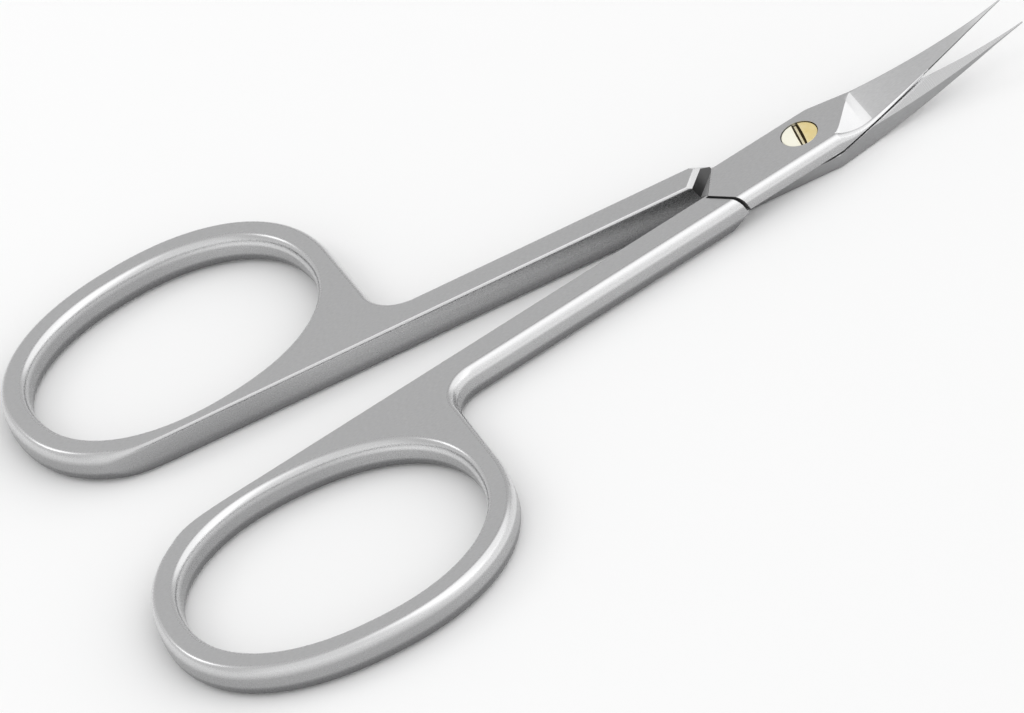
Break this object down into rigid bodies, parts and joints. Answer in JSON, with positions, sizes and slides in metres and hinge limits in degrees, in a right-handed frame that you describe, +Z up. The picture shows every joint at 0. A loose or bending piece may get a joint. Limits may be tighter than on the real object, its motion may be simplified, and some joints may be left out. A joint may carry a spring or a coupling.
{
  "type": "nail scissors",
  "caption": "Small curved-blade nail scissors: two crossed steel halves with oval finger bows, turning on a slotted gold screw.",
  "frame": {"origin": "on the pivot screw's axis, at its flush end in the flat back of the joint, the lowest point of the scissors lying flat", "axes": "+X from the screw towards the blade tips along the middle of the opening, +Z up through the joint, towards the screw's head and the way the blade tips curve"},
  "size_m": [0.0897, 0.0612, 0.0041],
  "materials": {
    "satin_steel": "satin",
    "screw_gold": "polished"
  },
  "bodies": {
    "lower": {"lower_half": "satin_steel", "pivot_screw": "screw_gold"},
    "upper": {"upper_half": "satin_steel"}
  },
  "joints": [
    {"name": "pivot", "type": "hinge", "parent": "lower", "child": "upper", "pos_m": [0, 0, 0.00165], "axis": [0, 0, 1], "range_deg": [-10.86, 59.14]}
  ]
}
